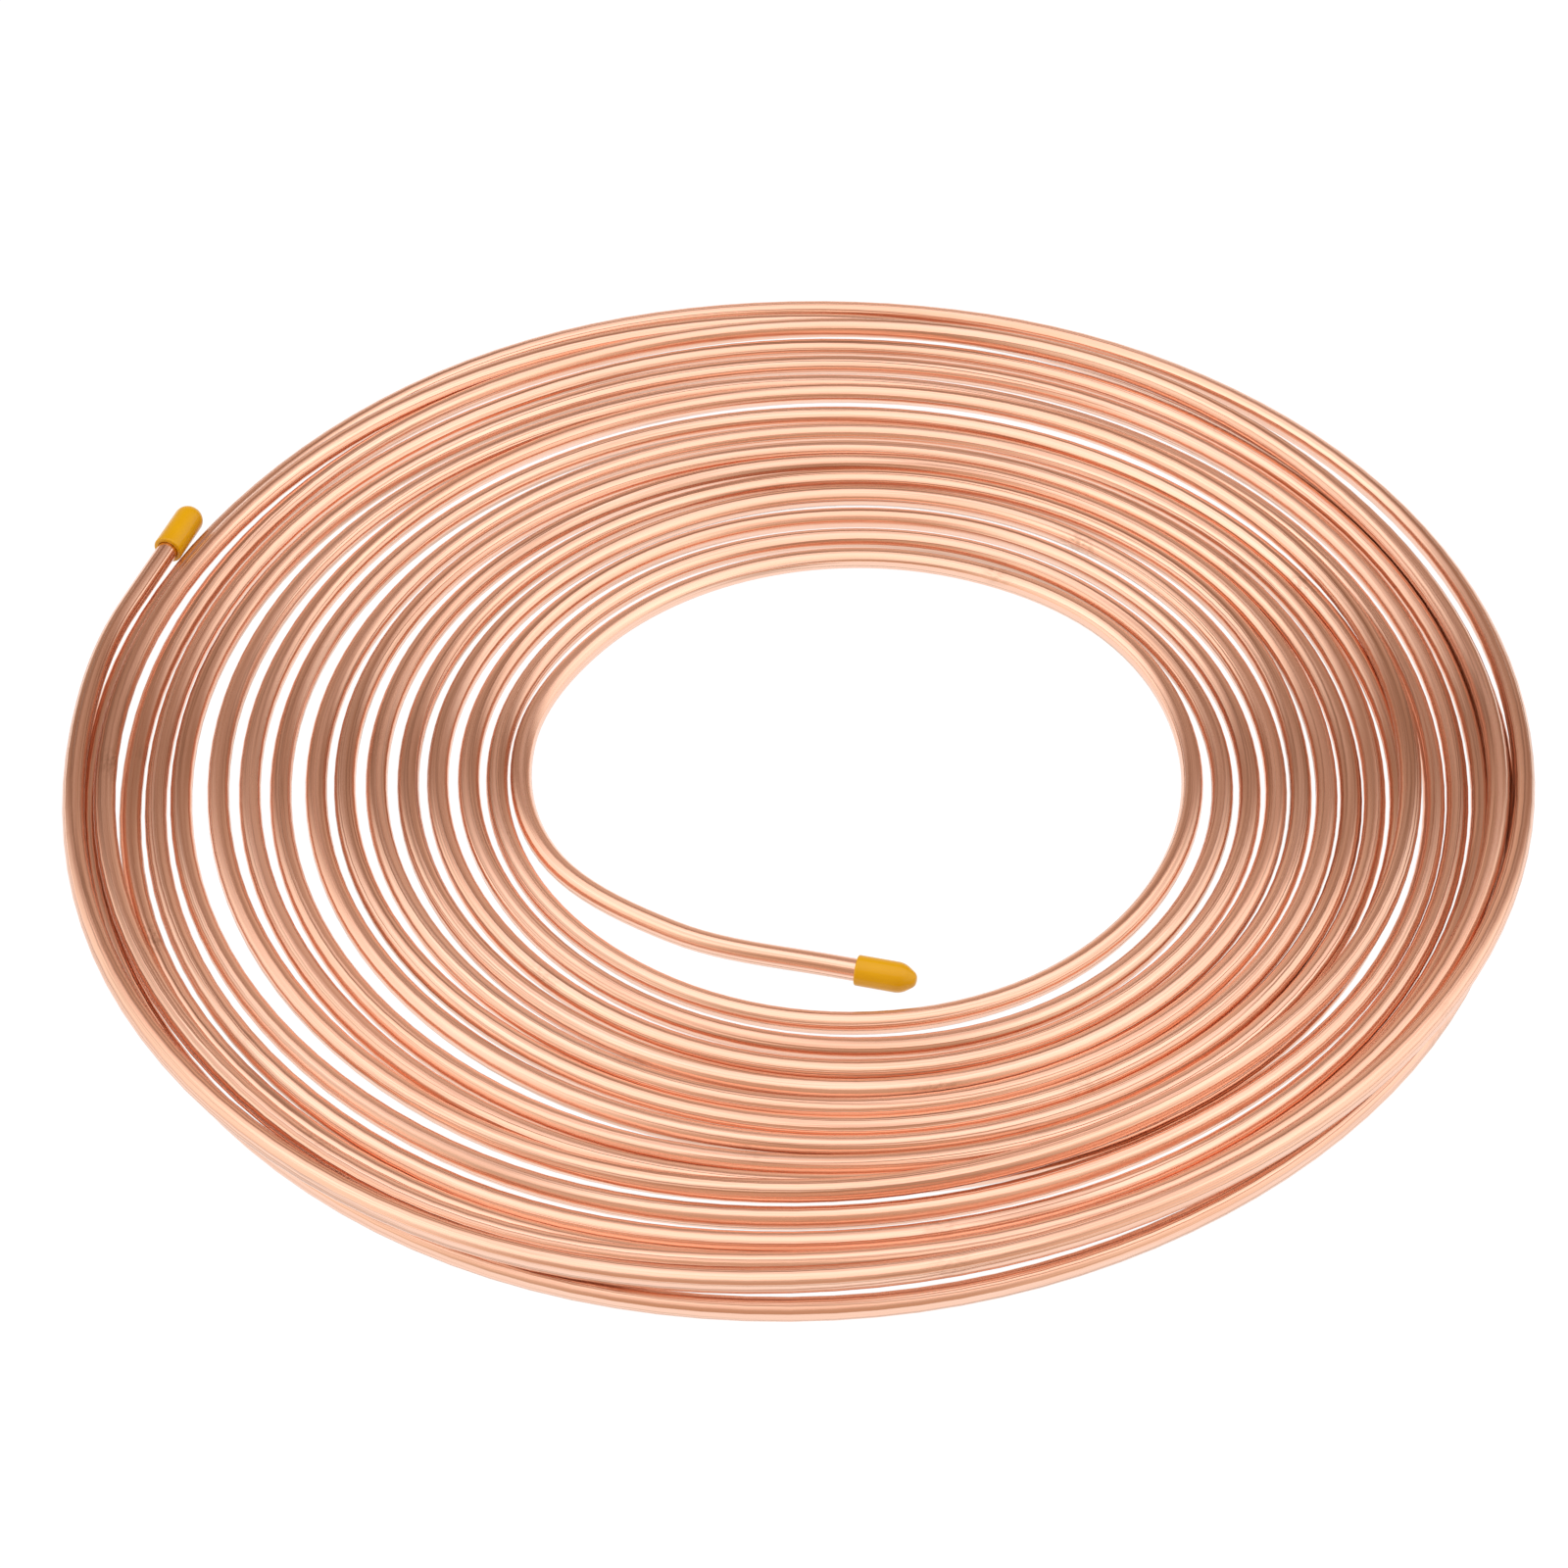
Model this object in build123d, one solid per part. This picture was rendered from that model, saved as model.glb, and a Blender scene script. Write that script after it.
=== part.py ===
"""A coil of soft copper tube, as it is sold for refrigerant, fuel and gas lines.

One length of drawn tube is wound flat from the eye outwards, loosely, so that the
turns stand apart on one side and lie against each other on the other. A few turns
slipped over their neighbours when the coil relaxed. A moulded cap is pushed over
each end of the tube to keep the bore clean.

Axes: X to the right and Y away from the viewer, both in the plane of the coil,
Z up. The coil lies flat, and the origin is under the middle of its outline.
"""

import os
from math import cos, hypot, pi, radians, sin, sqrt

from build123d import *

# Tube, in millimetres
tube_od = 6.0
tube_wall = 1.0
touch_gap = 0.25  # left where one turn rides on another, so that the wound tube stays one clean solid

# End caps: a plain sleeve with a tapered, rounded nose
cap_wall = 1.05
cap_length = 16.0
cap_cover = 11.0  # length of tube inside the cap
cap_nose = 3.5  # length of the tapered nose
cap_tip_radius = 2.4  # where the taper ends
cap_tip_rounding = 1.2
cap_lip = 0.4  # rounding of the open edge
cap_clearance = 0.05  # between the tube and the bore of the cap

# The winding, read in twelve compass directions, clockwise from the side near the viewer.
# Each row gives the radius of the innermost tube, then the clear gap from each turn to the
# next one out. A gap below zero is where one of the two rides on the other.
first_direction = 270.0
spacings = [
    [84.4, 13.1, 2.7, 1.6, 0.5, 0.3, 0.1, 0.2, 0.3, 0.1, -1.3, -0.8, 1.8, 0.3, -2.3, 3.8, -9.7],
    [82.3, 11.3, 2.3, 2.0, 1.1, 1.2, 0.5, 1.3, 2.9, 0.8, 0.1, 2.1, 2.6, 0.1, -0.8, 0.9, -5.7],
    [86.4, 2.5, 1.5, 2.3, 1.9, 2.1, 2.0, 1.7, 3.5, 1.4, 1.6, 4.1, 1.9, 1.3, -1.4, -1.1, -2.6],
    [83.2, 0.5, 1.9, 2.5, 2.1, 2.7, 2.7, 1.8, 3.6, 2.6, 2.7, 3.8, 0.6, 0.7, 0.9, -1.6, -1.9],
    [77.4, 2.2, 2.8, 2.7, 2.2, 3.0, 2.6, 1.7, 3.6, 3.1, 2.9, 3.0, 1.3, 1.3, -0.1, -0.9],
    [75.6, 3.2, 3.2, 2.6, 2.2, 2.4, 1.8, 2.3, 3.0, 4.0, 0.5, 2.5, 2.2, 3.5, 0.2, 0.1],
    [77.9, 2.8, 3.5, 4.0, 1.8, 1.3, 0.5, 2.4, 2.0, 3.5, 0.1, 3.5, 2.5, 1.2, -0.3, 0.5],
    [83.9, 2.8, 3.4, 3.6, 2.0, 0.5, 0.1, 2.1, 0.9, 2.3, -0.3, 3.9, 1.9, -0.9, -2.2, 3.6],
    [92.9, 1.0, 2.3, 2.8, 2.6, 0.1, 0.1, 1.6, 0.1, 0.4, -0.3, 2.3, 0.8, -3.0, -2.7, 4.4],
    [99.0, 1.9, 1.5, 1.4, 0.9, 1.0, 0.6, 0.6, 0.9, -3.4, 0.9, 0.6, 0.7, -2.2, -3.6, -0.7],
    [103.1, 2.8, 1.5, 0.7, 0.6, 0.6, 0.4, 0.1, 0.5, -4.5, 0.5, 0.2, 0.2, -2.9, -2.1, -4.2],
    [105.2, 3.5, 1.0, 0.3, 0.1, 0.1, 0.1, 0.1, 0.1, -4.9, -0.9, 1.9, 0.1, -2.5, 0.3, -7.2],
]
# The turns that ride in each of those directions, counted from the outside, in the order in
# which they came to lie on the rest
riding_turns = [
    [7, 3, 1],
    [7, 3, 1],
    [3, 1],
    [3, 1],
    [2],
    [3, 2],
    [3, 7],
    [3, 7],
    [3, 7],
    [3, 7, 1],
    [3, 7, 1],
    [3, 7, 1],
]

# Where the ends leave the winding: how far each turns off its line, in degrees, and its straight run
inner_end_turn = 13.5
inner_end_run = 7.0
outer_bend_on = 15.0  # degrees from the last direction of the winding to its last point
outer_bend_step = 0.6  # further out than the turn before it
outer_bend_lift = 3.3
outer_end_turn = 3.0
outer_end_run = 26.0

direction_step = 360 / len(spacings)
turns = max(len(spacing) for spacing in spacings)
full_rows = sum(len(spacing) == turns for spacing in spacings)  # directions that the last turn reaches
last_direction = first_direction - direction_step * (full_rows - 1)
outer_bend_direction = last_direction - outer_bend_on

tube_radius = tube_od / 2
bore_radius = tube_radius - tube_wall
cap_radius = tube_radius + cap_wall
cap_lift = cap_radius - tube_radius  # a cap is fatter than the tube, so it holds its end off the floor
pitch = tube_od + touch_gap
closest = tube_od + touch_gap / 2  # axes nearer to each other than this would count as a collision


def lay_row(inner_radius, gaps, riders):
    """Radius and lift of each turn in one direction: a riding turn drops to the lowest free place.

    It rests on the floor or in contact with a neighbour, where it runs into none of the others.
    """
    radii = [inner_radius]
    for gap in gaps:
        radii.append(radii[-1] + tube_od + gap)
    lifts = [0.0] * len(radii)
    riding = [len(radii) - rider for rider in riders]
    laid = [turn for turn in range(len(radii)) if turn not in riding]
    for turn in riding:
        near = [(radii[turn] - radii[other], lifts[other]) for other in laid]
        near = [(across, lift) for across, lift in near if abs(across) < pitch]
        rests = [0.0] + [lift + sqrt(pitch**2 - across**2) for across, lift in near]
        lifts[turn] = min(
            rest for rest in rests if all(hypot(across, rest - lift) > closest for across, lift in near)
        )
        laid.append(turn)
    return list(zip(radii, lifts))


def place(direction, radius, lift):
    """Point on the axis of the tube, from its compass direction, radius and lift off the floor."""
    return Vector(radius * cos(radians(direction)), radius * sin(radians(direction)), tube_radius + lift)


def wind():
    """Points of the winding from the inner end to the outer end, one for each direction of each turn."""
    laid_rows = []
    for at, (spacing, riders) in enumerate(zip(spacings, riding_turns)):
        direction = first_direction - at * direction_step
        laid_rows.append((direction, lay_row(spacing[0], spacing[1:], riders)))
    points = []
    for turn in range(turns):
        points += [place(direction, *row[turn]) for direction, row in laid_rows if turn < len(row)]
    last_radius = hypot(points[-1].X, points[-1].Y)
    points.append(place(outer_bend_direction, last_radius + outer_bend_step, outer_bend_lift))
    return points


def biarc(start, start_heading, end, end_heading):
    """Two arcs that leave one point and reach the next along the given headings."""
    chord = end - start
    turned = start_heading + end_heading
    spread = 2 * (1 - start_heading.dot(end_heading))
    along = chord.dot(turned)
    if spread < 1e-9:
        reach = chord.dot(chord) / (2 * along)
    else:
        reach = (sqrt(along**2 + spread * chord.dot(chord)) - along) / spread
    first = start + start_heading * reach
    last = end - end_heading * reach
    middle = (first + last) * 0.5
    return [
        Edge.make_tangent_arc(start, start_heading, middle),
        Edge.make_tangent_arc(middle, (last - first).normalized(), end),
    ]


def way(heading):
    """Level direction of a compass heading."""
    return Vector(cos(radians(heading)), sin(radians(heading)), 0)


def heading_at(before, here, after):
    """Heading at a point: tangent to the circle through it and its neighbours, and level on the floor."""
    arriving = here - before
    leaving = after - here
    heading = arriving * (1 / arriving.dot(arriving)) + leaving * (1 / leaving.dot(leaving))
    if here.Z <= tube_radius:
        heading.Z = 0
    return heading.normalized()


def tube_axis(points, inner_way, outer_way):
    """Axis of the whole tube: smooth arcs through the winding, straight under the caps."""
    headings = [heading_at(*three) for three in zip(points, points[1:], points[2:])]
    headings = [-inner_way] + headings + [outer_way]
    edges = [Edge.make_line(points[0] + inner_way * (inner_end_run + cap_cover), points[0])]
    for start, heading, end, next_heading in zip(points, headings, points[1:], headings[1:]):
        edges += biarc(start, heading, end, next_heading)
    edges.append(Edge.make_line(points[-1], points[-1] + outer_way * (outer_end_run + cap_cover)))
    return Wire(edges)


def drawn_tube(axis):
    """Hollow tube along its axis: outside and bore as swept walls, closed by the two ring-shaped ends."""
    walls = []
    rings = []
    for radius in (tube_radius, bore_radius):
        swept = sweep(Plane(origin=axis @ 0, z_dir=axis % 0) * Circle(radius), axis)
        walls += [face for face in swept.faces() if face.geom_type != GeomType.PLANE]
    for end in (0, 1):
        cut = Plane(origin=axis @ end, z_dir=axis % end)
        rings.append((cut * (Circle(tube_radius) - Circle(bore_radius))).face())
    return Solid(Shell(walls + rings))


def end_cap():
    """Moulded cap, mouth at the origin and nose up: sleeve, blind bore, tapered nose and round tip."""
    sleeve = Cylinder(cap_radius, cap_length - cap_nose, align=(Align.CENTER, Align.CENTER, Align.MIN))
    nose = Cone(cap_radius, cap_tip_radius, cap_nose, align=(Align.CENTER, Align.CENTER, Align.MIN))
    cap = sleeve + Pos(0, 0, cap_length - cap_nose) * nose
    rims = cap.edges().filter_by(GeomType.CIRCLE).sort_by(Axis.Z)
    cap = fillet(rims[-1], cap_tip_rounding)
    cap = fillet(cap.edges().filter_by(GeomType.CIRCLE).sort_by(Axis.Z)[0], cap_lip)
    bore_depth = cap_cover + cap_clearance
    sleeve_bore = tube_radius + cap_clearance
    return cap - Cylinder(sleeve_bore, bore_depth, align=(Align.CENTER, Align.CENTER, Align.MIN))


points = wind()
points[0] += Vector(0, 0, cap_lift)
inner_way = way(first_direction + 90 - inner_end_turn)  # the winding runs clockwise, square to its radius
outer_way = way(outer_bend_direction - 90 - outer_end_turn)
axis = tube_axis(points, inner_way, outer_way)

pieces = {
    "copper_tube": drawn_tube(axis),
    "inner_end_cap": Plane(origin=axis @ 0 - inner_way * cap_cover, z_dir=inner_way) * end_cap(),
    "outer_end_cap": Plane(origin=axis @ 1 - outer_way * cap_cover, z_dir=outer_way) * end_cap(),
}

outline = Compound(list(pieces.values())).bounding_box()
to_origin = Pos(-outline.center().X, -outline.center().Y, -outline.min.Z)

os.makedirs("parts", exist_ok=True)
for name, piece in pieces.items():
    export_step(to_origin * piece, f"parts/{name}.step")

section = pi * (tube_radius**2 - bore_radius**2)
print(f"length of tube {axis.length / 1000:.3f} m, {len(points)} points")
print(f"volume {pieces['copper_tube'].volume:.0f}, section times length {section * axis.length:.0f} mm3")
print(f"size {outline.size.X:.1f} x {outline.size.Y:.1f} x {outline.size.Z:.2f} mm")
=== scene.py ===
from math import ceil, cos, hypot, radians, sin, sqrt

import bpy
import numpy as np
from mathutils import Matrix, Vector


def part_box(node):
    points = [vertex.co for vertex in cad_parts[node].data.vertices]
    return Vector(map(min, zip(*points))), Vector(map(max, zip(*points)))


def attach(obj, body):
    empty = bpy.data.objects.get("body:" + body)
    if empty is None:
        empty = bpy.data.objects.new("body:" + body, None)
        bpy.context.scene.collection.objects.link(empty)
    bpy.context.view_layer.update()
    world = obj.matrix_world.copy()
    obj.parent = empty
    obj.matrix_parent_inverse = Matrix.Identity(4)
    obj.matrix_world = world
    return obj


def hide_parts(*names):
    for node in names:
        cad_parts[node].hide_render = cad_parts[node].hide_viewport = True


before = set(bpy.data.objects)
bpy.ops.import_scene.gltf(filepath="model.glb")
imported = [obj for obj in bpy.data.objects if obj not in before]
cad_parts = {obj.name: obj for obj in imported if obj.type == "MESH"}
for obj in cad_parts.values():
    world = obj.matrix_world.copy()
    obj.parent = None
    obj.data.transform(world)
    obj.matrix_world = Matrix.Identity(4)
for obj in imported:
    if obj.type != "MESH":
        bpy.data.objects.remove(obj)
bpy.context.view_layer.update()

# The copper tube
# One length of soft drawn copper tube, bright and annealed, wound flat and loose from the
# eye outwards, with a few turns that slipped over their neighbours. It keeps the fine lines of
# the drawing die along its whole length.
mm = 0.001
tube_od = 6.0 * mm
tube_wall = 1.0 * mm
tube_radius = tube_od / 2
bore_radius = tube_radius - tube_wall
touch_gap = 0.25 * mm  # left where one turn rides on another
cap_cover = 11.0 * mm  # length of tube inside a cap
cap_wall = 1.05 * mm  # it holds the inner end off the floor

# Each line is one direction, every 30 degrees clockwise from the side near the viewer, in
# millimetres: radius of the innermost tube, then the clear gap from each turn to the next.
spacings = [
    [84.4, 13.1, 2.7, 1.6, 0.5, 0.3, 0.1, 0.2, 0.3, 0.1, -1.3, -0.8, 1.8, 0.3, -2.3, 3.8, -9.7],
    [82.3, 11.3, 2.3, 2.0, 1.1, 1.2, 0.5, 1.3, 2.9, 0.8, 0.1, 2.1, 2.6, 0.1, -0.8, 0.9, -5.7],
    [86.4, 2.5, 1.5, 2.3, 1.9, 2.1, 2.0, 1.7, 3.5, 1.4, 1.6, 4.1, 1.9, 1.3, -1.4, -1.1, -2.6],
    [83.2, 0.5, 1.9, 2.5, 2.1, 2.7, 2.7, 1.8, 3.6, 2.6, 2.7, 3.8, 0.6, 0.7, 0.9, -1.6, -1.9],
    [77.4, 2.2, 2.8, 2.7, 2.2, 3.0, 2.6, 1.7, 3.6, 3.1, 2.9, 3.0, 1.3, 1.3, -0.1, -0.9],
    [75.6, 3.2, 3.2, 2.6, 2.2, 2.4, 1.8, 2.3, 3.0, 4.0, 0.5, 2.5, 2.2, 3.5, 0.2, 0.1],
    [77.9, 2.8, 3.5, 4.0, 1.8, 1.3, 0.5, 2.4, 2.0, 3.5, 0.1, 3.5, 2.5, 1.2, -0.3, 0.5],
    [83.9, 2.8, 3.4, 3.6, 2.0, 0.5, 0.1, 2.1, 0.9, 2.3, -0.3, 3.9, 1.9, -0.9, -2.2, 3.6],
    [92.9, 1.0, 2.3, 2.8, 2.6, 0.1, 0.1, 1.6, 0.1, 0.4, -0.3, 2.3, 0.8, -3.0, -2.7, 4.4],
    [99.0, 1.9, 1.5, 1.4, 0.9, 1.0, 0.6, 0.6, 0.9, -3.4, 0.9, 0.6, 0.7, -2.2, -3.6, -0.7],
    [103.1, 2.8, 1.5, 0.7, 0.6, 0.6, 0.4, 0.1, 0.5, -4.5, 0.5, 0.2, 0.2, -2.9, -2.1, -4.2],
    [105.2, 3.5, 1.0, 0.3, 0.1, 0.1, 0.1, 0.1, 0.1, -4.9, -0.9, 1.9, 0.1, -2.5, 0.3, -7.2],
]
# The turns that ride on others in each of those directions, counted from the outside, in the
# order in which they came to lie there.
riding_turns = [
    [7, 3, 1],
    [7, 3, 1],
    [3, 1],
    [3, 1],
    [2],
    [3, 2],
    [3, 7],
    [3, 7],
    [3, 7],
    [3, 7, 1],
    [3, 7, 1],
    [3, 7, 1],
]
first_direction = 270.0
direction_step = 360 / len(spacings)
turns = max(len(spacing) for spacing in spacings)
full_rows = sum(len(spacing) == turns for spacing in spacings)  # directions that the last turn reaches

# Where the ends leave the winding: how far each turns off its line, in degrees, and how long
# it runs straight before its cap.
inner_end_turn = 13.5
inner_end_run = 7.0 * mm
outer_bend_on = 15.0  # degrees from the last direction of the winding to its last point
outer_bend_step = 0.6 * mm  # further out than the turn before it
outer_bend_lift = 3.3 * mm
outer_bend_direction = first_direction - direction_step * (full_rows - 1) - outer_bend_on
outer_end_turn = 3.0
outer_end_run = 26.0 * mm

rings_per_stretch = 10
inner_run_rings = 5
outer_run_rings = 7
bore_rings = 3  # the skin turns in at each end and goes this many rings down the bore
corners_round = 32
hair = 0.02 * mm  # the skin stands this far inside the true outside, to stay within the CAD's box


def lay_row(inner_radius, gaps, riders):
    """Radius and lift of each turn in one direction. A riding turn rests on the floor or on one
    laid before it, at a lift of theirs plus sqrt(pitch^2 - distance^2): the lowest such place
    where it runs into none of the others."""
    pitch = tube_od + touch_gap
    closest = tube_od + touch_gap / 2
    radii = [inner_radius]
    for gap in gaps:
        radii.append(radii[-1] + tube_od + gap)
    lifts = [0.0] * len(radii)
    riding = [len(radii) - rider for rider in riders]
    laid = [turn for turn in range(len(radii)) if turn not in riding]
    for turn in riding:
        near = [(radii[turn] - radii[other], lifts[other]) for other in laid]
        near = [(across, lift) for across, lift in near if abs(across) < pitch]
        rests = [0.0] + [lift + sqrt(pitch**2 - across**2) for across, lift in near]
        lifts[turn] = min(
            rest for rest in rests if all(hypot(across, rest - lift) > closest for across, lift in near)
        )
        laid.append(turn)
    return list(zip(radii, lifts))


def place(direction, radius, lift):
    """Point of the tube's axis from its compass direction, radius and lift."""
    return [radius * cos(radians(direction)), radius * sin(radians(direction)), tube_radius + lift]


def wind():
    """Points of the winding, one for each direction of each turn, from the inner end outwards."""
    laid = []
    for at, (spacing, riders) in enumerate(zip(spacings, riding_turns)):
        radius, *gaps = [value * mm for value in spacing]
        laid.append((first_direction - at * direction_step, lay_row(radius, gaps, riders)))
    found = []
    for turn in range(turns):
        found += [place(direction, *row[turn]) for direction, row in laid if turn < len(row)]
    last_radius = hypot(*found[-1][:2])
    found.append(place(outer_bend_direction, last_radius + outer_bend_step, outer_bend_lift))
    return np.array(found)


def unit(vectors):
    """Vectors divided by their own lengths."""
    return vectors / np.linalg.norm(vectors, axis=-1, keepdims=True)


def headings_of(points, first, last):
    """Heading at each point: a / |a|^2 + b / |b|^2, with a and b the chords to and from it, which
    is the tangent of the circle through three points. On the floor it is level."""
    chords = np.diff(points, axis=0)
    weighed = chords / (chords**2).sum(1, keepdims=True)
    middle = weighed[:-1] + weighed[1:]
    middle[points[1:-1, 2] <= tube_radius, 2] = 0
    return unit(np.vstack([first, middle, last]))


def smooth_route(points, headings, steps):
    """Cubic Hermite stretches between the points. The pull of a heading on its stretch is that of an
    arc that turns by a over the same chord: chord 2 tan(a / 4) / sin(a / 2), or the chord if a is 0."""
    straight_below = 1e-6  # radians
    chord = np.linalg.norm(np.diff(points, axis=0), axis=1)
    turn = np.arccos(np.clip((headings[:-1] * headings[1:]).sum(1), -1, 1))
    arc = 2 * np.tan(turn / 4) / np.sin(np.maximum(turn, straight_below) / 2)
    pull = (chord * np.where(turn > straight_below, arc, 1.0))[:, None, None]
    leaving = headings[:-1, None] * pull
    arriving = headings[1:, None] * pull
    t = (np.arange(steps) / steps)[None, :, None]
    found = (
        (2 * t**3 - 3 * t**2 + 1) * points[:-1, None]
        + (t**3 - 2 * t**2 + t) * leaving
        + (3 * t**2 - 2 * t**3) * points[1:, None]
        + (t**3 - t**2) * arriving
    )
    return np.vstack([found.reshape(-1, 3), points[-1:]])


def way(heading):
    """Level direction of a compass heading: (cos h, sin h, 0)."""
    return np.array([cos(radians(heading)), sin(radians(heading)), 0.0])


inner_way = way(first_direction + 90 - inner_end_turn)
outer_way = way(outer_bend_direction - 90 - outer_end_turn)
winding = wind()
winding[0, 2] += cap_wall
route = smooth_route(winding, headings_of(winding, -inner_way, outer_way), rings_per_stretch)
inner_end = route[0] + inner_way * (inner_end_run + cap_cover)
outer_end = route[-1] + outer_way * (outer_end_run + cap_cover)
inner_run = np.linspace(inner_end, route[0], inner_run_rings + 1)[:-1]
outer_run = np.linspace(route[-1], outer_end, outer_run_rings + 1)[1:]
route = np.vstack([inner_run, route, outer_run])

low, high = (np.array(corner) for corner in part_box("copper_tube"))
span_low, span_high = route.min(0) - tube_radius, route.max(0) + tube_radius
tube_shift = np.array([*((low + high - span_low - span_high) / 2)[:2], 0.0])
route += tube_shift


def angles(count):
    """So many even angles of one full turn."""
    return np.arange(count) / count * 2 * np.pi


def tube_rings(route, radius):
    """Circles about the points of a route, square to it: point + radius (cos a side + sin a above)."""
    along = unit(np.gradient(route, axis=0))
    side = unit(np.cross(along, [0.0, 0.0, 1.0]))
    above = np.cross(side, along)
    angle = angles(corners_round)[None, :, None]
    out = np.cos(angle) * side[:, None] + np.sin(angle) * above[:, None]
    return route[:, None] + radius * out


def with_bores(inside, outside):
    """A stack of rows that comes up out of the bore at the inner end, runs along the outside and
    turns down into the bore at the outer end."""
    return np.concatenate([inside[bore_rings::-1], outside, inside[: -bore_rings - 2 : -1]])


def skin(name, rings, poles):
    """Closed skin over a stack of rings, each an array of points around, with a pole at each end:
    quads between one ring and the next, and a fan of triangles to each pole."""
    count, around = rings.shape[:2]
    rim = np.arange(around)
    ahead = (rim + 1) % around
    ring_start = np.arange(count - 1)[:, None] * around
    first, after = ring_start + rim, ring_start + ahead
    quads = np.stack([first, after, after + around, first + around], -1).reshape(-1, 4)
    pole = count * around
    last = (count - 1) * around
    start_fan = np.stack([ahead, rim, np.full(around, pole)], -1)
    end_fan = np.stack([last + rim, last + ahead, np.full(around, pole + 1)], -1)
    mesh = bpy.data.meshes.new(name)
    points = np.vstack([rings.reshape(-1, 3), poles])
    mesh.from_pydata(points, [], quads.tolist() + start_fan.tolist() + end_fan.tolist())
    mesh.shade_smooth()
    piece = bpy.data.objects.new(name, mesh)
    bpy.context.scene.collection.objects.link(piece)
    return piece


rings = with_bores(tube_rings(route, bore_radius), tube_rings(route, tube_radius - hair))
tube = skin("tube", rings, [route[bore_rings], route[-bore_rings - 1]])
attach(tube, "root")
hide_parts("copper_tube")


def mark_straight(piece, route):
    """Where each point of the skin would be if the tube lay straight: (r cos a, r sin a, s), with a
    its angle about the axis and s its distance along it, so that a pattern can run along the tube."""
    distance = np.concatenate([[0.0], np.cumsum(np.linalg.norm(np.diff(route, axis=0), axis=1))])
    run = with_bores(distance, distance)
    radius = with_bores(np.full(len(route), bore_radius), np.full(len(route), tube_radius))
    across, above = (radius[:, None] * wave(angles(corners_round)) for wave in (np.cos, np.sin))
    spots = np.stack(np.broadcast_arrays(across, above, run[:, None]), -1)
    poles = [[0.0, 0.0, run[0]], [0.0, 0.0, run[-1]]]
    marks = piece.data.attributes.new("straight", "FLOAT_VECTOR", "POINT")
    marks.data.foreach_set("vector", np.vstack([spots.reshape(-1, 3), poles]).ravel())


mark_straight(tube, route)


def lay_strips(piece, count, around, strips):
    """The tube's skin cut along its inner side and into even lengths, one above the other in the
    square: u is the share of the length, v the strip and in it the share of the way around. The
    fans at the two ends lie as discs in a row of their own above the strips."""
    margin, width, disc = 0.03, 0.94, 0.4  # of a row: below a strip, the strip itself, a disc's radius
    per_strip = ceil((count - 1) / strips)
    rows = strips + 1
    ring, corner = np.meshgrid(np.arange(count - 1), np.arange(around), indexing="ij")
    u = (ring % per_strip) / per_strip
    v = (ring // per_strip + margin + width * corner / around) / rows
    du, dv = 1 / per_strip, width / around / rows
    quads = np.stack([u, v, u, v + dv, u + du, v + dv, u + du, v], -1).reshape(-1, 2)
    rim = np.stack([np.cos(angles(around)), np.sin(angles(around))], -1) * disc / rows
    ahead = np.roll(rim, -1, axis=0)
    spot = np.array([0.5, strips + 0.5]) / rows
    start_fan = np.stack([ahead, rim, 0 * rim], 1).reshape(-1, 2) + spot
    end_fan = np.stack([rim, ahead, 0 * rim], 1).reshape(-1, 2) + spot + [1 / rows, 0]
    layer = piece.data.uv_layers.new(name="OFBake")
    layer.data.foreach_set("uv", np.vstack([quads, start_fan, end_fan]).ravel())


lay_strips(tube, len(rings), corners_round, strips=17)


# Bright copper: the die left dark and light lines along it, and handling left clouds of tarnish,
# rubbed places and crinkled scuffs. Its shine changes with the wide lines.
def open_nodes(owner):
    """Nodes and links of a material or of the world."""
    owner.use_nodes = True
    return owner.node_tree.nodes, owner.node_tree.links


def noise(vector, scale, detail):
    """Noise between 0 and 1, of so many spots to a unit of the vector."""
    texture = nodes.new("ShaderNodeTexNoise")
    texture.inputs["Scale"].default_value = scale
    texture.inputs["Detail"].default_value = detail
    links.new(vector, texture.inputs["Vector"])
    return texture.outputs["Fac"]


def along_tube(across, along, detail):
    """Noise between 0 and 1 on the straight tube, of so many spots to a metre across and along."""
    stretch = nodes.new("ShaderNodeVectorMath")
    stretch.operation = "MULTIPLY"
    stretch.inputs[1].default_value = (across, across, along)
    links.new(straight.outputs["Vector"], stretch.inputs[0])
    return noise(stretch.outputs[0], 1.0, detail)


def mapped(value, low, high, start, end):
    """Value carried from the span low to high over to the span start to end."""
    spread = nodes.new("ShaderNodeMapRange")
    for socket, number in zip(("From Min", "From Max", "To Min", "To Max"), (low, high, start, end)):
        spread.inputs[socket].default_value = number
    links.new(value, spread.inputs["Value"])
    return spread.outputs["Result"]


def mixed(share, first, second):
    """Colour between the first, at share 0, and the second, at share 1."""
    mix = nodes.new("ShaderNodeMix")
    mix.data_type = "RGBA"
    links.new(share, mix.inputs["Factor"])
    for socket, colour in ((mix.inputs[6], first), (mix.inputs[7], second)):
        if isinstance(colour, tuple):
            socket.default_value = colour
        else:
            links.new(colour, socket)
    return mix.outputs[2]


def crossing(value, middle, width):
    """1 where the value is at the middle, falling to 0 on both sides within the width."""
    ramp = nodes.new("ShaderNodeValToRGB")
    stops = ramp.color_ramp.elements
    stops.new(middle)
    for stop, position, level in zip(stops, (middle - width, middle, middle + width), (0, 1, 0)):
        stop.position = position
        stop.color = (level, level, level, 1)
    links.new(value, ramp.inputs["Fac"])
    return ramp.outputs["Color"]


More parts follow.
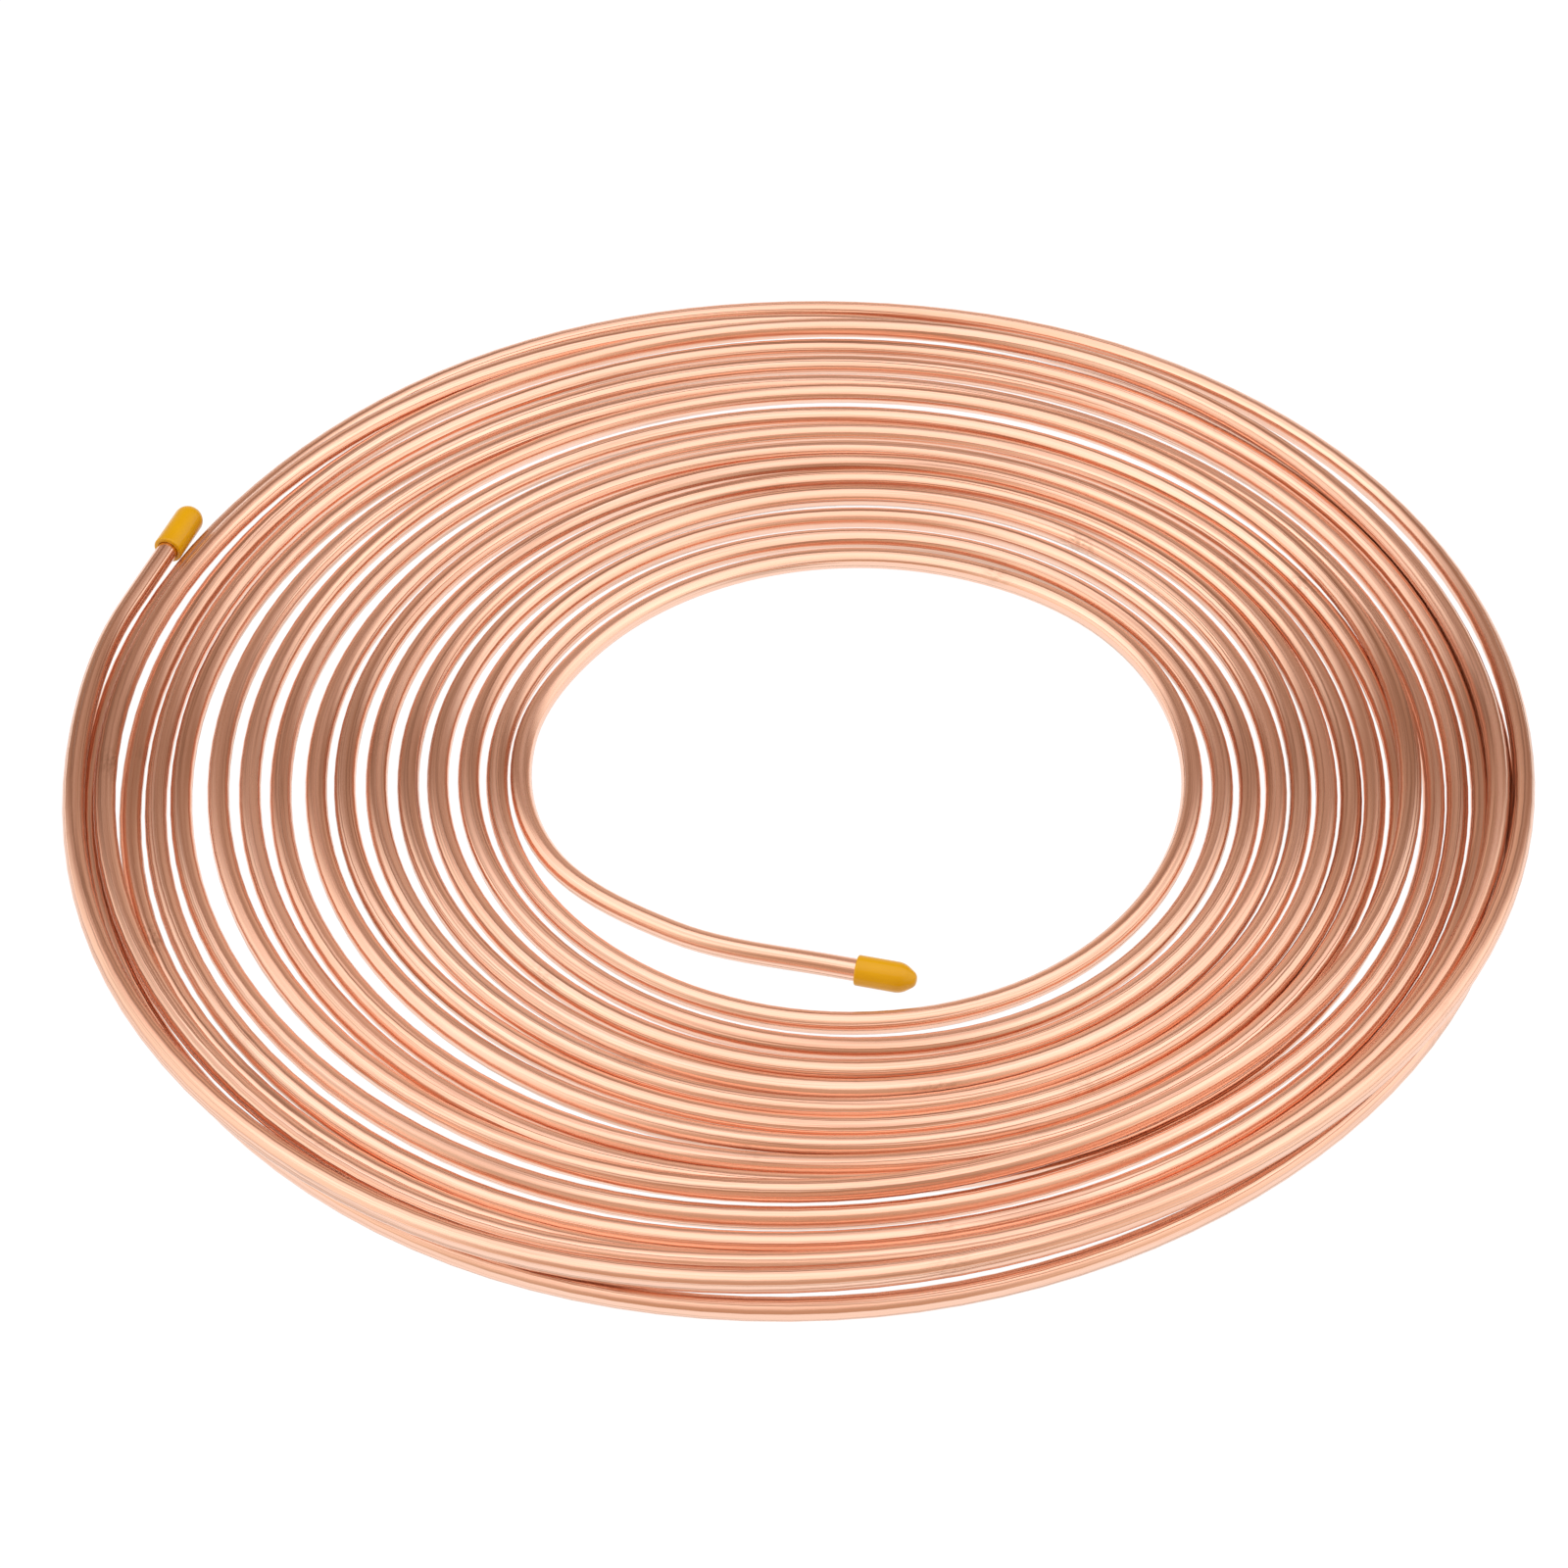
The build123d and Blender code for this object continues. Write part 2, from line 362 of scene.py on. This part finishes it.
def reckoned(operation, *values):
    """Result of one sum on its values, each a number or what another node puts out."""
    result = nodes.new("ShaderNodeMath")
    result.operation = operation
    for socket, value in zip(result.inputs, values):
        if isinstance(value, float):
            socket.default_value = value
        else:
            links.new(value, socket)
    return result.outputs[0]


def bumped(height, strength, distance):
    """Normal of a surface that rises by the distance where its height is 1, at so much strength."""
    bump = nodes.new("ShaderNodeBump")
    bump.inputs["Strength"].default_value = strength
    bump.inputs["Distance"].default_value = distance
    links.new(height, bump.inputs["Height"])
    return bump.outputs["Normal"]


copper = bpy.data.materials.new("bright copper")
nodes, links = open_nodes(copper)
shader = nodes["Principled BSDF"]
shader.inputs["Metallic"].default_value = 1.0
straight = nodes.new("ShaderNodeAttribute")
straight.attribute_name = "straight"
die_lines = crossing(along_tube(across=430.0, along=2.2, detail=1.0), middle=0.46, width=0.030)
fine_lines = crossing(along_tube(across=760.0, along=5.0, detail=2.0), middle=0.57, width=0.045)
light_lines = crossing(along_tube(across=640.0, along=3.0, detail=1.0), middle=0.40, width=0.040)
wide_lines = along_tube(across=520.0, along=4.0, detail=1.0)
tarnish = along_tube(across=90.0, along=7.0, detail=3.0)
rubbed = along_tube(across=140.0, along=16.0, detail=4.0)
scuffed = mapped(along_tube(across=26.0, along=26.0, detail=1.0), 0.66, 0.72, 0.0, 0.6)
crinkles = mapped(along_tube(across=1100.0, along=500.0, detail=2.0), 0.40, 0.62, 0.0, 1.0)
clean = (0.94, 0.62, 0.48, 1)
stained = (0.88, 0.51, 0.36, 1)
brown = (0.52, 0.31, 0.22, 1)
pale = (0.96, 0.69, 0.57, 1)
tinted = clean
for share, colour in (
    (mapped(tarnish, 0.45, 0.75, 0.0, 0.6), stained),
    (mapped(rubbed, 0.55, 0.75, 0.0, 0.5), pale),
    (mapped(light_lines, 0.0, 1.0, 0.0, 0.6), pale),
    (mapped(fine_lines, 0.0, 1.0, 0.0, 0.5), brown),
    (mapped(die_lines, 0.0, 1.0, 0.0, 0.7), brown),
    (reckoned("MULTIPLY", scuffed, crinkles), brown),
):
    tinted = mixed(share, tinted, colour)
links.new(tinted, shader.inputs["Base Color"])
links.new(mapped(wide_lines, 0.3, 0.7, 0.14, 0.30), shader.inputs["Roughness"])
die_line_height = -0.25  # as a share of the wide lines' height
height = reckoned("MULTIPLY_ADD", die_lines, die_line_height, wide_lines)
links.new(bumped(height, strength=1.0, distance=0.25 * mm), shader.inputs["Normal"])
tube.data.materials.append(copper)

# The end caps
# Two soft caps of moulded vinyl, pushed over the tube's ends to keep the bore clean. Each is a
# sleeve with a rounded lip and a soft shoulder: the inner one has a blunt tapered nose, and the
# outer one is longer, thicker and domed.
inner_cap_length = 16.0 * mm
outer_cap_length = 18.3 * mm
outer_cap_wall = 1.3 * mm
outer_dome = tube_radius + outer_cap_wall
outer_nose = 0.56 * outer_dome
cap_clearance = 0.05 * mm
cap_corners_round = 64


def rounded(corners, cuts, steps):
    """Profile through corners: each is cut back by its own length on both sides and bridged by a
    parabola, (1 - t)^2 a + 2 t (1 - t) corner + t^2 b, and the legs between are divided evenly."""
    corners, cuts = np.array(corners), np.array(cuts)
    leg = unit(np.diff(corners, axis=0))
    before = corners[1:-1] - leg[:-1] * cuts[:, None]
    after = corners[1:-1] + leg[1:] * cuts[:, None]
    t = np.linspace(0, 1, steps)[:, None]
    found = [corners[:1]]
    for start, corner, end in zip(before, corners[1:-1], after):
        found.append(np.linspace(found[-1][-1], start, steps)[1:-1])
        found.append((1 - t) ** 2 * start + 2 * t * (1 - t) * corner + t**2 * end)
    found.append(np.linspace(found[-1][-1], corners[-1], steps)[1:-1])
    return np.vstack(found)


def cap_profile(length, wall, nose, tip, shoulder_cut, tip_cut):
    """Depth and radius from the blind end of the bore, out over the lip and on to the tip. Its first
    and last rings are small ones about the axis, which the poles close."""
    first_ring, last_ring = 0.3 * mm, 0.05 * mm
    bottom_cut, inner_lip_cut, outer_lip_cut = 0.2 * mm, 0.25 * mm, 0.6 * mm
    bore_depth = cap_cover + cap_clearance
    bore = tube_radius + cap_clearance
    outside = tube_radius + wall
    corners = [
        (bore_depth, first_ring),
        (bore_depth, bore),
        (0.0, bore),
        (0.0, outside),
        (length - nose, outside),
        (length, tip),
        (length, last_ring),
    ]
    return rounded(corners, [bottom_cut, inner_lip_cut, outer_lip_cut, shoulder_cut, tip_cut], steps=9)


def turned(name, mouth, heading, profile):
    """Profile of (depth, radius) turned about an axis: mouth + depth heading + radius (cos a side +
    sin a up), closed by a pole at the depth of its first and of its last point."""
    up = np.array([0.0, 0.0, 1.0])
    side = np.cross(heading, up)
    angle = angles(cap_corners_round)[:, None]
    around = np.cos(angle) * side + np.sin(angle) * up
    rings = mouth + profile[:, :1, None] * heading + profile[:, 1:, None] * around[None]
    return skin(name, rings, [mouth + profile[0, 0] * heading, mouth + profile[-1, 0] * heading])


# Glossy yellow vinyl, faintly clouded and a little uneven from its mould
vinyl = bpy.data.materials.new("yellow vinyl")
nodes, links = open_nodes(vinyl)
shader = nodes["Principled BSDF"]
shader.inputs["Roughness"].default_value = 0.3
shader.inputs["Specular IOR Level"].default_value = 0.1
shader.inputs["Coat Weight"].default_value = 0.5
shader.inputs["Coat Roughness"].default_value = 0.04
where = nodes.new("ShaderNodeTexCoord").outputs["Object"]
yellow = (0.70, 0.39, 0.001, 1)
deep_yellow = (0.65, 0.345, 0.0005, 1)
clouds = noise(where, scale=70.0, detail=2.0)
links.new(mixed(mapped(clouds, 0.35, 0.65, 0.0, 1.0), yellow, deep_yellow), shader.inputs["Base Color"])
ripple = noise(where, scale=150.0, detail=1.0)
links.new(bumped(ripple, strength=0.15, distance=0.2 * mm), shader.inputs["Normal"])

inner_profile = cap_profile(
    inner_cap_length, cap_wall, nose=3.7 * mm, tip=1.5 * mm, shoulder_cut=1.7 * mm, tip_cut=1.2 * mm
)
outer_profile = cap_profile(
    outer_cap_length,
    outer_cap_wall,
    nose=outer_nose,
    tip=outer_dome - outer_nose,
    shoulder_cut=0.40 * outer_dome,
    tip_cut=0.39 * outer_dome,
)
for name, end, heading, profile in (
    ("inner_cap", inner_end, inner_way, inner_profile),
    ("outer_cap", outer_end, outer_way, outer_profile),
):
    cap = turned(name, end + tube_shift - heading * cap_cover, heading, profile)
    cap.data.materials.append(vinyl)
    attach(cap, "root")
    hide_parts(name.replace("_", "_end_"))

# The stage
# A plain white floor that the coil lies on. It shows white to the camera and to the metal, and
# keeps a faint shadow.
floor_reach = 4.0
floor_glow = 1.1
floor_share = 0.89  # share of the glow in what the camera and the metal see; the rest is paint
floor_mesh = bpy.data.meshes.new("floor")
ends = (-floor_reach, floor_reach)
floor_mesh.from_pydata([(x, y, 0) for y in ends for x in ends], [], [(0, 1, 3, 2)])
floor = bpy.data.objects.new("floor", floor_mesh)
bpy.context.scene.collection.objects.link(floor)
paint = bpy.data.materials.new("white floor")
nodes, links = open_nodes(paint)
shader = nodes["Principled BSDF"]
shader.inputs["Base Color"].default_value = (0.9, 0.9, 0.9, 1)
shader.inputs["Roughness"].default_value = 1.0
shader.inputs["Specular IOR Level"].default_value = 0.0
glow = nodes.new("ShaderNodeEmission")
glow.inputs["Strength"].default_value = floor_glow
ray = nodes.new("ShaderNodeLightPath")
seen = reckoned("MAXIMUM", ray.outputs["Is Camera Ray"], ray.outputs["Is Glossy Ray"])
blend = nodes.new("ShaderNodeMixShader")
links.new(mapped(seen, 0.0, 1.0, 0.0, floor_share), blend.inputs[0])
links.new(shader.outputs[0], blend.inputs[1])
links.new(glow.outputs[0], blend.inputs[2])
links.new(blend.outputs[0], nodes["Material Output"].inputs["Surface"])
floor_mesh.materials.append(paint)

# The light
# A wide soft box hangs close above the coil, with a brighter strip in it. Around them is a pale
# room that is darker towards the back, with light from both sides. The metal shows each of them.
lamp_height = 0.62
lamp_colour = (0.88, 0.82, 0.80)


def hang_lamp(name, across, deep, level, back):
    """Lamp facing down, so far back from the middle, of the power that makes its surface as bright as
    level: pi times level times its area."""
    lamp = bpy.data.objects.new(name, bpy.data.lights.new(name, "AREA"))
    lamp.data.shape = "RECTANGLE"
    lamp.data.size = across
    lamp.data.size_y = deep
    lamp.data.energy = level * np.pi * across * deep
    lamp.data.color = lamp_colour
    lamp.location = (0.0, back, lamp_height)
    bpy.context.scene.collection.objects.link(lamp)


hang_lamp("softbox", across=1.3, deep=1.0, level=0.62, back=-0.05)
hang_lamp("strip", across=1.0, deep=0.08, level=2.6, back=-0.12)

world = bpy.data.worlds.new("room")
bpy.context.scene.world = world
nodes, links = open_nodes(world)
nodes["Background"].inputs["Strength"].default_value = 1.0
sky = nodes.new("ShaderNodeTexCoord")
facing = nodes.new("ShaderNodeSeparateXYZ")
links.new(sky.outputs["Generated"], facing.inputs[0])
room = nodes.new("ShaderNodeValToRGB")
room.color_ramp.interpolation = "B_SPLINE"
# How far to the back each shade of the room stands, from -1 in front to 1 behind, and its colour
shades = [
    (-1.0, (0.58, 0.38, 0.255)),
    (-0.6, (0.66, 0.48, 0.37)),
    (-0.3, (0.78, 0.63, 0.54)),
    (0.0, (0.82, 0.715, 0.665)),
    (0.35, (0.82, 0.715, 0.665)),
    (0.55, (0.68, 0.53, 0.46)),
    (0.66, (0.33, 0.20, 0.14)),
    (0.76, (0.28, 0.165, 0.11)),
    (0.86, (0.66, 0.48, 0.38)),
    (1.0, (0.90, 0.66, 0.53)),
]
while len(room.color_ramp.elements) < len(shades):
    room.color_ramp.elements.new(0.5)
for element, (backward, shade) in zip(room.color_ramp.elements, shades):
    element.position = (backward + 1) / 2
    element.color = (*shade, 1)
links.new(mapped(facing.outputs["Y"], -1.0, 1.0, 0.0, 1.0), room.inputs["Fac"])

# The side light comes in from a direction's sideways share of 0.40 on, and is gone at the back
side_colour = (0.82, 0.87, 0.81)
side_level = 0.48
beside = mapped(reckoned("ABSOLUTE", facing.outputs["X"]), 0.40, 0.75, 0.0, side_level)
before_back = mapped(facing.outputs["Y"], 0.40, 0.62, 1.0, 0.0)
side_light = nodes.new("ShaderNodeVectorMath")
side_light.operation = "SCALE"
side_light.inputs[0].default_value = side_colour
links.new(reckoned("MULTIPLY", beside, before_back), side_light.inputs["Scale"])
all_light = nodes.new("ShaderNodeVectorMath")
all_light.operation = "ADD"
links.new(room.outputs["Color"], all_light.inputs[0])
links.new(side_light.outputs[0], all_light.inputs[1])
links.new(all_light.outputs[0], nodes["Background"].inputs["Color"])

# The camera
# It stands in front of the coil and looks down at it, from about a metre away.
photo_size = 1600
focal_pixels = 3800.0
sensor_width = 36.0
view_height = radians(44.1)
view_distance = 1.0133
aim = np.array([-0.0046, -0.0169, tube_radius])
camera = bpy.data.objects.new("camera", bpy.data.cameras.new("camera"))
camera.data.sensor_width = sensor_width
camera.data.lens = sensor_width * focal_pixels / photo_size
camera.location = aim + view_distance * np.array([0, -cos(view_height), sin(view_height)])
camera.rotation_euler = (np.pi / 2 - view_height, 0, 0)
bpy.context.scene.collection.objects.link(camera)
bpy.context.scene.camera = camera

bpy.context.scene.view_settings.view_transform = "Standard"
